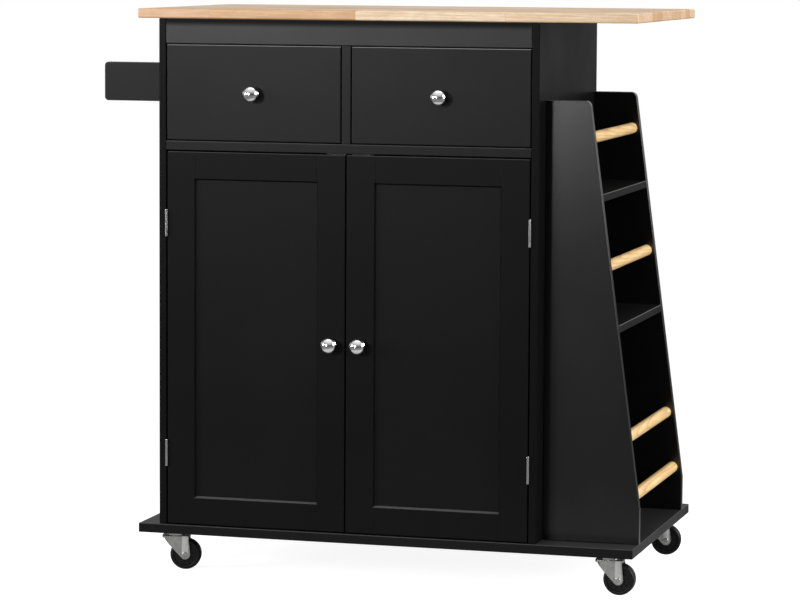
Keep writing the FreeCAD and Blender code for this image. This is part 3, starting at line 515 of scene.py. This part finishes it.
# Metals
chrome = {"colour": (0.95, 0.95, 0.96, 1.0), "dull": (0.84, 0.84, 0.85, 1.0), "roughness": (0.045, 0.12),
          "patches": 30.0, "scratches": 2400.0, "height": 0.000002}
zincPlate = {"colour": (0.45, 0.45, 0.44, 1.0), "dull": (0.32, 0.32, 0.31, 1.0), "roughness": (0.20, 0.29),
             "patches": 170.0, "scratches": 900.0, "height": 0.000006}
# Brighter zinc: the hinges' own plating, and on the fork ridges a painted highlight
brightZincAndHighlight = {"colour": (0.76, 0.76, 0.75, 1.0), "dull": (0.58, 0.58, 0.57, 1.0), "roughness": (0.18, 0.26),
              "patches": 170.0, "scratches": 900.0, "height": 0.000006}
screwSteel = {"colour": (0.47, 0.47, 0.48, 1.0), "dull": (0.30, 0.30, 0.31, 1.0), "roughness": (0.28, 0.42),
              "patches": 500.0, "scratches": 1300.0, "height": 0.00001}
runnerSteel = {"colour": (0.52, 0.53, 0.54, 1.0), "dull": (0.41, 0.42, 0.43, 1.0), "roughness": (0.3, 0.44),
               "patches": 240.0, "scratches": 700.0, "height": 0.00002}
metalWear = {"patches": 0.5, "scratches": 0.3, "patchRoughness": 0.5, "bumpStrength": 0.6}


def makeMetal(name, look):
    material, tree, shader, coordinates = newMaterial(name, {"Metallic": 1.0})
    marks = place(tree, metalMarks, {"Vector": coordinates, "Patch Scale": look["patches"],
                                     "Scratch Scale": look["scratches"]})
    colour = tinted(tree, look["colour"], marks["Patches"], metalWear["patches"], look["dull"])
    colour = tinted(tree, colour, marks["Scratches"], metalWear["scratches"], look["dull"])
    patchy = times(tree, marks["Patches"], metalWear["patchRoughness"])
    worn = maths(tree, "MAXIMUM", patchy, marks["Scratches"])
    roughness = remap(tree, worn, 0.0, 1.0, *look["roughness"])
    dress(tree, shader, colour, roughness, marks["Height"], (look["height"], metalWear["bumpStrength"]))
    return material


# Moulded pieces: wheels and door catches
wheelRubber = {"colour": (0.004, 0.004, 0.0043, 1.0), "scuffed": (0.018, 0.018, 0.0175, 1.0),
               "roughness": (0.34, 0.48), "specular": 0.22, "grain": 900.0, "height": 0.00004}
catchPlastic = {"colour": (0.60, 0.60, 0.58, 1.0), "scuffed": (0.46, 0.46, 0.44, 1.0),
                "roughness": (0.42, 0.55), "specular": 0.5, "grain": 1500.0, "height": 0.00002}
mouldedWear = {"cloudScale": 45.0, "cloud": 0.25, "edgeWidth": 0.0025, "patchiness": 190.0, "worn": 0.5,
               "bumpStrength": 0.5}


def makeMoulded(name, look):
    material, tree, shader, coordinates = newMaterial(name, {"Specular IOR Level": look["specular"]})
    film = place(tree, paintFilm, {"Vector": coordinates, "Ripple Scale": look["grain"],
                                   "Cloud Scale": mouldedWear["cloudScale"]})
    wear = place(tree, edgeWear, {"Vector": coordinates, "Width": mouldedWear["edgeWidth"],
                                  "Patchiness": mouldedWear["patchiness"]})
    colour = tinted(tree, look["colour"], film["Cloud"], mouldedWear["cloud"], look["scuffed"])
    colour = tinted(tree, colour, wear["Worn"], mouldedWear["worn"], look["scuffed"])
    roughness = remap(tree, film["Cloud"], 0.0, 1.0, *look["roughness"])
    dress(tree, shader, colour, roughness, film["Height"], (look["height"], mouldedWear["bumpStrength"]))
    return material


# Finishes by the record's slots, and one more: the hinges' brighter zinc, which on the fork ridges is a
# painted highlight
finishes = {
    "light_wood": makeWorktopWood(worktopWood),
    "rod_wood": makeRodWood(rodWood),
    "hardboard": makeBackBoard(backBoard),
    "drawer_board": makeDrawerWood(drawerWood),
    "chrome": makeMetal("chrome", chrome),
    "zinc": makeMetal("zincPlate", zincPlate),
    "bright_zinc_and_highlight": makeMetal("brightZincAndHighlight", brightZincAndHighlight),
    "screw_steel": makeMetal("screwSteel", screwSteel),
    "runner_steel": makeMetal("runnerSteel", runnerSteel),
    "wheel_rubber": makeMoulded("wheelRubber", wheelRubber),
    "catch_plastic": makeMoulded("catchPlastic", catchPlastic),
}
paints = {}
for name, changes in paintSheens.items():
    sheen = {**plainSheen, **changes}
    painted = makeBlackPaint(name, blackPaint, sheen)
    for node in sheen["on"]:
        paints[node] = painted
for part in frame["record"]["subparts"]:
    node = part["node"]
    if "hinge" in node:
        finish = finishes["bright_zinc_and_highlight"]
    elif node in paints:
        finish = paints[node]
    else:
        finish = finishes[part["material_slot"]]
    for slot in nodes[node].material_slots:
        slot.material = finish


# Helpers for the pieces built here
meshLook = {
    "sharpAngle": 32.0,                 # degrees above which an edge stays sharp
    "onAxis": 1e-7,                     # a radius below this is a point on the axis
    "weld": 0.000001,
}


def newPiece(name, shape, body, slot, finish=None):
    mesh = bpy.data.meshes.new(name)
    bmesh.ops.recalc_face_normals(shape, faces=shape.faces)
    shape.to_mesh(mesh)
    shape.free()
    mesh.shade_smooth()
    mesh.set_sharp_from_angle(angle=math.radians(meshLook["sharpAngle"]))
    mesh.materials.append(finishes[finish or slot])
    piece = bpy.data.objects.new(name, mesh)
    bpy.context.scene.collection.objects.link(piece)
    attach(piece, body)
    return piece


def weld(shape):
    bmesh.ops.remove_doubles(shape, verts=shape.verts, dist=meshLook["weld"])


def spin(shape, outline, steps, matrix, raised=lambda x, y: 0.0):
    # Turns an outline of (radius, z) about Z; raised lifts or lowers a point by its place.
    rings = []
    for radius, z in outline:
        if radius < meshLook["onAxis"]:
            rings.append([shape.verts.new(matrix @ Vector((0, 0, z + raised(0, 0))))])
            continue
        ring = []
        for step in range(steps):
            angle = math.tau * step / steps
            x, y = radius * math.cos(angle), radius * math.sin(angle)
            ring.append(shape.verts.new(matrix @ Vector((x, y, z + raised(x, y)))))
        rings.append(ring)
    for inner, outer in zip(rings, rings[1:]):
        for step in range(steps):
            after = (step + 1) % steps
            corners = (inner[step % len(inner)], outer[step % len(outer)],
                       outer[after % len(outer)], inner[after % len(inner)])
            kept = list(dict.fromkeys(corners))
            if len(kept) > 2:
                shape.faces.new(kept)


def skin(shape, loops):
    # A closed form through a row of loops with as many points each, capped at both ends.
    for first, second in zip(loops, loops[1:]):
        for here in range(len(first)):
            there = (here + 1) % len(first)
            shape.faces.new((first[here], first[there], second[there], second[here]))
    shape.faces.new(loops[0])
    shape.faces.new(loops[-1])


def solidsOf(mesh):
    # The points of each separate solid of a mesh.
    shape = bmesh.new()
    shape.from_mesh(mesh)
    weld(shape)
    left = set(shape.verts)
    found = []
    for start in shape.verts:
        if start not in left:
            continue
        left.remove(start)
        todo = [start]
        grown = []
        while todo:
            vertex = todo.pop()
            grown.append(vertex.co.copy())
            for edge in vertex.link_edges:
                other = edge.other_vert(vertex)
                if other in left:
                    left.remove(other)
                    todo.append(other)
        found.append(grown)
    shape.free()
    return found


def cornersOf(points):
    low = Vector([min(point[axis] for point in points) for axis in range(3)])
    high = Vector([max(point[axis] for point in points) for axis in range(3)])
    return low, high


# Screws with a cross recess, in place of the plain ones
screwLook = {
    "panHead": {"radius": 0.00375, "rise": 0.0024, "crown": 0.0012, "recess": 0.0022, "arm": 0.0006,
                "depth": 0.0013},
    "flatHead": {"radius": 0.004, "rise": 0.0, "crown": 0.0, "recess": 0.0024, "arm": 0.0006,
                 "depth": 0.0016},
    "hingeHead": {"radius": 0.0024, "rise": 0.0, "crown": 0.0, "recess": 0.0015, "arm": 0.0004,
                  "depth": 0.0005},
    "endWall": 0.0004,                  # how far the walls of the recess slope
    "sideWall": 0.00025,
    "steps": 48,
    "faceSteps": 12,
    "faceShare": 0.86,                  # share of the radius that the face takes
    "crownRim": (0.95, 0.72),           # shares of the radius and of the crown
    "flatRim": 0.97,
    "bevel": 0.00015,
    "shank": (0.55, 0.5),               # shares of the radius: half width and depth
    "headDepth": 0.0026,                # how far from a screw's end its head is looked for
    "firstTurn": 0.7,
    "turnStep": 1.9,
}


def screwHead(shape, look, matrix):
    # Its seat is at z = 0 and it faces +Z.
    def sunk(x, y):
        along, across = max(abs(x), abs(y)), min(abs(x), abs(y))
        inside = min((look["recess"] - along) / screwLook["endWall"],
                     (look["arm"] - across) / screwLook["sideWall"])
        return -look["depth"] * min(max(inside, 0.0), 1.0)

    top, radius, crown = look["rise"], look["radius"], look["crown"]
    outline = []
    for step in range(screwLook["faceSteps"] + 1):
        share = step / screwLook["faceSteps"] * screwLook["faceShare"]
        outline.append((radius * share, top - crown * (1 - math.sqrt(1 - share * share))))
    if crown:
        across, down = screwLook["crownRim"]
        outline += [(radius * across, top - crown * down), (radius, top - crown), (radius, 0.0), (0.0, 0.0)]
    else:
        across, down = screwLook["shank"]
        outline += [(radius * screwLook["flatRim"], 0.0), (radius, -screwLook["bevel"]),
                    (radius * across, -radius * down), (0.0, -radius * down)]
    spin(shape, outline, screwLook["steps"], matrix, sunk)


def widthNear(points, middle, axis, level):
    # How far a screw reaches from its axis near one of its ends.
    first, second = (other for other in range(3) if other != axis)
    near = [point for point in points if abs(point[axis] - level) < screwLook["headDepth"]]
    return max(math.hypot(point[first] - middle[first], point[second] - middle[second]) for point in near)


def screwsOf(node, look, name, body):
    shape = bmesh.new()
    screws = solidsOf(nodes[node].data)
    for number, points in enumerate(screws):
        low, high = cornersOf(points)
        middle, size = (low + high) / 2, high - low
        axis = max(range(3), key=lambda i: size[i])
        atHigh = widthNear(points, middle, axis, high[axis]) > widthNear(points, middle, axis, low[axis])
        outward = Vector((0, 0, 0))
        outward[axis] = 1.0 if atHigh else -1.0
        seat = middle.copy()
        seat[axis] = (high if atHigh else low)[axis] - outward[axis] * look["rise"]
        turn = outward.to_track_quat("Z", "Y").to_matrix().to_4x4()
        turn = turn @ Matrix.Rotation(screwLook["firstTurn"] + screwLook["turnStep"] * number, 4, "Z")
        screwHead(shape, look, Matrix.Translation(seat) @ turn)
    piece = newPiece(name, shape, body, "screw_steel")
    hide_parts(node)
    print(name, "made,", len(screws), "heads")


screwsOf("caster_screws", screwLook["panHead"], "casterScrewHeads", "carcass")
screwsOf("carcass_screws", screwLook["flatHead"], "carcassScrewHeads", "carcass")


# Hinge screws, one above and one below the middle of each leaf
hingeScrews = {
    "spread": 0.0125,
    "proud": 0.00004,
    "fromBarrel": 0.0062,
    "leafDepth": 0.001,                 # the rearmost part of a leaf, clear of its barrel
    "cabinetMiddle": -0.0225,
}


def hingeScrewHeads(name, node, body, facing):
    # The leaves face the cabinet's middle where facing is 1, and away from it where it is -1.
    shape = bmesh.new()
    for points in solidsOf(nodes[node].data):
        low, high = cornersOf(points)
        side = facing if low.x < hingeScrews["cabinetMiddle"] else -facing
        leaf = [point.x for point in points if point.y > high.y - hingeScrews["leafDepth"]]
        face = (max if side > 0 else min)(leaf) + side * hingeScrews["proud"]
        turn = Vector((side, 0, 0)).to_track_quat("Z", "Y").to_matrix().to_4x4()
        for step in (-1, 1):
            height = (low.z + high.z) / 2 + step * hingeScrews["spread"]
            at = Vector((face, high.y - hingeScrews["fromBarrel"], height))
            screwHead(shape, screwLook["hingeHead"], Matrix.Translation(at) @ turn)
    newPiece(name, shape, body, "screw_steel")


hingeScrewHeads("frameHingeScrews", "hinge_frame_leaves", "carcass", 1)
hingeScrewHeads("leftDoorHingeScrews", "left_door_hinge_leaves", "left_door", -1)
hingeScrewHeads("rightDoorHingeScrews", "right_door_hinge_leaves", "right_door", -1)
print("hinge screws made")


# Casters: moulded wheels with ribs, and the pressed ridge down each side of the fork
casterLook = {
    "corners": {
        "front_left": {"at": (-0.3205, -0.1655), "turned": 12.0},
        "front_right": {"at": (0.3965, -0.1655), "turned": 0.0},
        "rear_left": {"at": (-0.3205, 0.1965), "turned": 0.0},
        "rear_right": {"at": (0.3965, 0.1965), "turned": 8.0},
    },
    "trail": 0.0155,
    "axleHeight": 0.025,
}
wheelLook = {
    "radius": 0.025,
    "half": 0.01,
    "bore": 0.00305,
    "hub": 0.009,
    "hubHalf": 0.0108,
    "web": 0.019,
    "floor": 0.008,
    "hubRim": ((-0.0016, 0.0), (-0.0006, -0.0004), (-0.0002, -0.0012)),    # steps outwards and sideways
    "hubFoot": ((0.0, 0.0004), (0.0005, 0.0)),
    "webFoot": ((-0.0006, 0.0), (-0.0001, 0.0005)),
    "webRim": ((0.0003, -0.0002), (0.0008, 0.0)),
    "shoulder": 0.004,
    "shoulderIn": 0.00415,
    "shoulderSteps": 8,
    "mouldLine": ((-0.00008, 0.0032), (-0.00005, 0.0006), (0.0, 0.0002)),
    "steps": 96,
}
ribLook = {
    "count": 10,
    "width": 0.0013,
    "height": 0.0016,
    "taper": 0.75,
    "intoHub": 0.0003,
    "intoWeb": 0.0002,
    "intoFloor": 0.0001,
}
ridgeLook = {
    "half": 0.013,
    "left": 0.0105,
    "right": 0.0202,
    "top": 0.0548,
    "endRadius": 0.0056,
    "endSteps": 12,
    "profile": ((0.0, -0.0002), (0.0, 0.0), (0.0006, 0.0006), (0.0012, 0.0008)),    # inset and rise
}


def casterFrame(corner):
    spot = casterLook["corners"][corner]
    return Matrix.Translation((*spot["at"], 0)) @ Matrix.Rotation(math.radians(spot["turned"]), 4, "Z")


def stepsFrom(radius, side, steps):
    return [(radius + outward, side + sideways) for outward, sideways in steps]


def wheelOutline(look):
    # From the bore out to the middle of the tread, then back on the other side.
    outline = [(look["bore"], look["hubHalf"])]
    outline += stepsFrom(look["hub"], look["hubHalf"], look["hubRim"])
    outline += stepsFrom(look["hub"], look["floor"], look["hubFoot"])
    outline += stepsFrom(look["web"], look["floor"], look["webFoot"])
    outline += stepsFrom(look["web"], look["half"], look["webRim"])
    shoulder = look["shoulder"]
    for step in range(look["shoulderSteps"] + 1):
        angle = math.pi / 2 * step / look["shoulderSteps"]
        outline.append((look["radius"] - look["shoulderIn"] + shoulder * math.sin(angle),
                        look["half"] - shoulder + shoulder * math.cos(angle)))
    outline += stepsFrom(look["radius"], 0.0, look["mouldLine"])
    outline += [(radius, -side) for radius, side in reversed(outline)]
    return outline + [outline[0]]


def addRibs(shape, look, wheel, turn):
    ends = (wheel["hub"] - look["intoHub"], wheel["web"] + look["intoWeb"])
    low, high = wheel["floor"] - look["intoFloor"], wheel["floor"] + look["height"]
    foot, crest = look["width"] / 2, look["width"] / 2 * look["taper"]
    section = ((-foot, low), (-crest, high), (crest, high), (foot, low))
    for side in (-1, 1):
        for number in range(look["count"]):
            spoke = turn @ Matrix.Rotation(math.tau * number / look["count"], 4, "Z")
            loops = []
            for x in ends:
                loops.append([shape.verts.new(spoke @ Vector((x, y, side * z))) for y, z in section])
            skin(shape, loops)


def wheelPiece(corner):
    shape = bmesh.new()
    axle = Matrix.Translation((casterLook["trail"], 0, casterLook["axleHeight"]))
    turn = casterFrame(corner) @ axle @ Matrix.Rotation(math.pi / 2, 4, "X")
    spin(shape, wheelOutline(wheelLook), wheelLook["steps"], turn)
    addRibs(shape, ribLook, wheelLook, turn)
    weld(shape)
    piece = newPiece(corner.replace("_", "-") + "-mouldedWheel", shape, corner + "_roller", "wheel_rubber")
    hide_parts(corner + "_wheel")


def ridgeOutline(look, inset):
    # From under the crown down to a round end about the axle.
    radius = look["endRadius"] - inset
    outline = [(look["left"] + inset, look["top"]), (look["right"] - inset, look["top"])]
    for step in range(look["endSteps"] + 1):
        angle = math.pi * step / look["endSteps"]
        outline.append((casterLook["trail"] + radius * math.cos(angle),
                        casterLook["axleHeight"] - radius * math.sin(angle)))
    return outline


def forkRidges(corner, look):
    shape = bmesh.new()
    local = casterFrame(corner)
    for side in (-1, 1):
        loops = []
        for inset, rise in look["profile"]:
            y = side * (look["half"] + rise)
            loops.append([shape.verts.new(local @ Vector((x, y, z))) for x, z in ridgeOutline(look, inset)])
        skin(shape, loops)
    # The ridges take the brighter zinc: a painted highlight down each side of the fork
    newPiece(corner.replace("_", "-") + "-forkRidges", shape, corner + "_caster", "zinc", "bright_zinc_and_highlight")


for corner in casterLook["corners"]:
    wheelPiece(corner)
    forkRidges(corner, ridgeLook)
print("casters detailed")


# Floor
floorLook = {
    "size": 40.0,
    "near": (0.52, 0.52, 0.52, 1.0),    # under and round the cart
    "far": (0.15, 0.15, 0.15, 1.0),     # what the paint mirrors, further off
    "reach": (0.5, 0.95),               # metres from the middle, where one turns into the other
    "cameraGlow": 0.9,
}


def makeFloor(look):
    mesh = bpy.data.meshes.new("floor")
    half = look["size"] / 2
    corners = [(-half, -half, 0), (half, -half, 0), (half, half, 0), (-half, half, 0)]
    mesh.from_pydata(corners, [], [(0, 1, 2, 3)])
    floor = bpy.data.objects.new("floor", mesh)
    bpy.context.scene.collection.objects.link(floor)
    material = bpy.data.materials.new("paleFloor")
    material.use_nodes = True
    tree = material.node_tree
    tree.nodes.clear()
    coordinates = add(tree, "TexCoord").outputs["Object"]
    away = add(tree, "VectorMath", {0: coordinates}, operation="LENGTH").outputs["Value"]
    colour = blendColours(tree, remap(tree, away, *look["reach"]), look["near"], look["far"])
    matt = add(tree, "BsdfDiffuse", {"Color": colour}).outputs[0]
    glow = add(tree, "Emission", {"Strength": look["cameraGlow"]}).outputs[0]
    both = add(tree, "AddShader", {0: matt, 1: glow}).outputs[0]
    seen = add(tree, "LightPath").outputs["Is Camera Ray"]
    mixed = add(tree, "MixShader", {0: seen, 1: matt, 2: both}).outputs[0]
    add(tree, "OutputMaterial", {"Surface": mixed})
    mesh.materials.append(material)


makeFloor(floorLook)


# Room light: how bright the world is by direction
roomLight = {
    "above": (0.9, 0.9, 0.9, 1.0),
    "front": (0.06, 0.06, 0.06, 1.0),
    "behind": (0.35, 0.35, 0.35, 1.0),
    "mirrored": (0.42, 0.42, 0.42, 1.0),    # backdrop as metal and paint mirror it
    "backdrop": (1.0, 1.0, 1.0, 1.0),       # backdrop as the camera sees it
    "frontToBehind": (-0.3, 0.6),
    "sidesToAbove": (0.1, 0.9),
    "mirroredFrom": 0.2,
    "strength": 1.0,
}


def makeRoom(look):
    world = bpy.data.worlds.new("room")
    bpy.context.scene.world = world
    world.use_nodes = True
    tree = world.node_tree
    tree.nodes.clear()
    y, z = split(tree, add(tree, "TexCoord").outputs["Generated"])[1:3]
    level = blendColours(tree, remap(tree, y, *look["frontToBehind"]), look["front"], look["behind"])
    room = blendColours(tree, remap(tree, z, *look["sidesToAbove"]), level, look["above"])
    rays = add(tree, "LightPath").outputs
    mirrored = maths(tree, "MAXIMUM", rays["Is Glossy Ray"], rays["Is Transmission Ray"])
    mirrored = times(tree, mirrored, maths(tree, "GREATER_THAN", y, look["mirroredFrom"]))
    colour = blendColours(tree, mirrored, room, look["mirrored"])
    colour = blendColours(tree, rays["Is Camera Ray"], colour, look["backdrop"])
    sky = add(tree, "Background", {"Color": colour, "Strength": look["strength"]})
    add(tree, "OutputWorld", {"Surface": sky.outputs[0]})


makeRoom(roomLight)


# Lamps: soft boxes, with their place, aim, size and power in watts
lamps = {
    "farLeftBox": {"at": (-3.83, -2.27, 1.2), "towards": (0.05, -0.2, 1.2),
                   "size": (1.4, 1.0), "power": 105.0},
    "frontLeftBox": {"at": (-1.72, -4.23, 1.5), "towards": (0.05, -0.2, 1.5),
                     "size": (0.7, 0.8), "power": 60.0},
    "rackBox": {"at": (-0.87, -4.5, 0.75), "towards": (0.05, -0.2, 0.75),
                "size": (0.35, 0.4), "power": 7.0},
    "rightBox": {"at": (3.4, -0.4, 1.5), "towards": (0.4, 0.0, 0.5),
                 "size": (1.6, 1.8), "power": 105.0},
    "overheadBox": {"at": (0.0, 0.2, 3.0), "towards": (0.0, 0.0, 0.9),
                    "size": (2.4, 1.6), "power": 13.0},
}


def makeLamp(name, look):
    light = bpy.data.lights.new(name, "AREA")
    light.shape = "RECTANGLE"
    light.size, light.size_y = look["size"]
    light.energy = look["power"]
    lamp = bpy.data.objects.new(name, light)
    lamp.location = look["at"]
    aim = Vector(look["towards"]) - Vector(look["at"])
    lamp.rotation_euler = aim.to_track_quat("-Z", "Y").to_euler()
    bpy.context.scene.collection.objects.link(lamp)


for name, look in lamps.items():
    makeLamp(name, look)
print("floor, room and lamps placed")


# Camera
cameraLook = {
    "at": (1.489656, -5.168045, 1.004107),
    "yaw": 15.835,                      # degrees to the left of straight back
    "pitch": 4.817,                     # degrees downwards
    "roll": -0.315,
    "focalPixels": 3317.867,
    "centrePixel": (410.967, 226.706),
    "picture": (800, 600),
    "clip": (0.1, 100.0),
}


def makeCamera(look):
    data = bpy.data.cameras.new("camera")
    camera = bpy.data.objects.new("camera", data)
    bpy.context.scene.collection.objects.link(camera)
    width, height = look["picture"]
    centreX, centreY = look["centrePixel"]
    data.sensor_fit = "HORIZONTAL"
    data.lens = data.sensor_width * look["focalPixels"] / width
    data.shift_x = (width / 2 - centreX) / width
    data.shift_y = (centreY - height / 2) / width
    data.clip_start, data.clip_end = look["clip"]
    yaw, pitch, roll = (math.radians(look[key]) for key in ("yaw", "pitch", "roll"))
    forward = Vector((-math.sin(yaw) * math.cos(pitch), math.cos(yaw) * math.cos(pitch), -math.sin(pitch)))
    level = Vector((math.cos(yaw), math.sin(yaw), 0.0))
    down = forward.cross(level)
    right = level * math.cos(roll) + down * math.sin(roll)
    up = level * math.sin(roll) - down * math.cos(roll)
    turn = Matrix((right, up, -forward)).transposed()
    camera.matrix_world = Matrix.Translation(look["at"]) @ turn.to_4x4()
    bpy.context.scene.camera = camera


makeCamera(cameraLook)
bpy.context.scene.view_settings.view_transform = "Standard"
print("camera placed")
